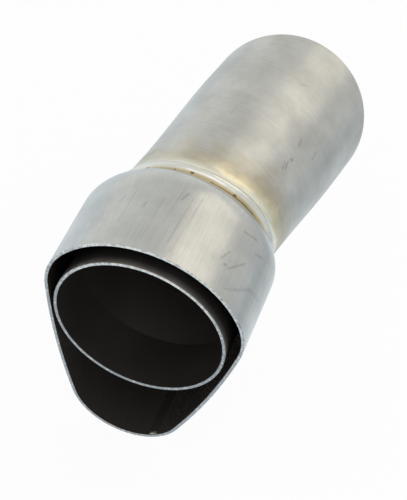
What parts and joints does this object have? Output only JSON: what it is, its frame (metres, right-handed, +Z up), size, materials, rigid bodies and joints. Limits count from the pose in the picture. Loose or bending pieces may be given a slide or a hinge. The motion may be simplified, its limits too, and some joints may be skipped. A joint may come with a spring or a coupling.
{
  "type": "exhaust baffle insert",
  "caption": "Round steel exhaust tube welded into an egg-shaped outlet sleeve with a round outlet tube inside, for the outlet end of a silencer.",
  "frame": {"origin": "centre of the outlet tube's round mouth, in the plane of the sleeve's mouth", "axes": "+Y along the outlet tube's axis to the rear, +Z up with the sleeve's point down, +X to the right seen from the mouth"},
  "size_m": [0.0699, 0.1067, 0.0907],
  "materials": {
    "brushed_tube": "satin, brushed round the tube, straw heat tint at the weld",
    "inner_tube": "dark satin with a bright bare rim",
    "brushed_sleeve": "satin, brushed lengthwise, dark inside, bright bare rim",
    "weld_bead": "smooth bright bead with straw edges"
  },
  "bodies": {
    "root": {"rear_tube": "brushed_tube", "outlet_tube": "inner_tube", "outlet_sleeve": "brushed_sleeve", "neck_weld": "weld_bead", "sleeve_seam_weld": "weld_bead"}
  },
  "joints": []
}
